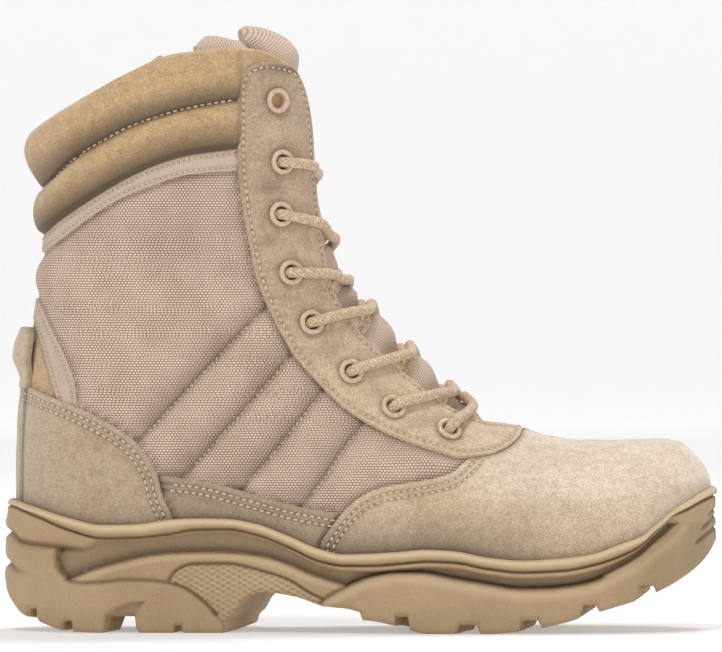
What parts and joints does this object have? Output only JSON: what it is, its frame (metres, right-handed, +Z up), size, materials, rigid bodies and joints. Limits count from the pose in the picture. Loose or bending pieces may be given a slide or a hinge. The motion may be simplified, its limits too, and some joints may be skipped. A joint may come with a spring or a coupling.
{
  "type": "safety boot",
  "caption": "Laced ankle-high safety boot, suede over padded nylon, with a cleated sole, padded collar, tongue and laces through round eyelets.",
  "frame": {"origin": "on the ground under the middle of the boot's bounding box", "axes": "+X towards the toe, +Y towards the inner side of the foot, +Z up"},
  "size_m": [0.306, 0.1139, 0.2587],
  "materials": {
    "sole_rubber": "matt moulded tan rubber",
    "suede": "sand suede with a short nap",
    "eyestay_suede": "sand suede, a little darker",
    "nylon": "coarse woven nylon over foam",
    "tape": "woven sand tape",
    "collar_leather": "smooth tan nubuck over foam",
    "eyelet_metal": "satin sand paint",
    "lace": "round braided cord",
    "insole_foam": "felt on foam"
  },
  "bodies": {
    "root": {"outsole": "sole_rubber", "midsole": "sole_rubber", "vamp": "suede", "heel_counter": "suede", "shank_strip_lateral": "suede", "shank_strip_medial": "suede", "eyestay": "eyestay_suede", "upper": "nylon", "tongue": "nylon", "collar_tape": "tape", "ankle_tape": "tape", "collar_pad": "collar_leather", "heel_tab": "collar_leather", "insole": "insole_foam", "eyelet_lateral_1": "eyelet_metal", "eyelet_lateral_2": "eyelet_metal", "eyelet_lateral_3": "eyelet_metal", "eyelet_lateral_4": "eyelet_metal", "eyelet_lateral_5": "eyelet_metal", "eyelet_lateral_6": "eyelet_metal", "eyelet_lateral_7": "eyelet_metal", "eyelet_lateral_8": "eyelet_metal", "eyelet_medial_1": "eyelet_metal", "eyelet_medial_2": "eyelet_metal", "eyelet_medial_3": "eyelet_metal", "eyelet_medial_4": "eyelet_metal", "eyelet_medial_5": "eyelet_metal", "eyelet_medial_6": "eyelet_metal", "eyelet_medial_7": "eyelet_metal", "eyelet_medial_8": "eyelet_metal", "lace_crossing_2": "lace", "lace_crossing_3": "lace", "lace_crossing_4": "lace", "lace_crossing_5": "lace", "lace_crossing_6": "lace", "lace_crossing_7": "lace", "lace_lowest_bar": "lace"}
  },
  "joints": []
}
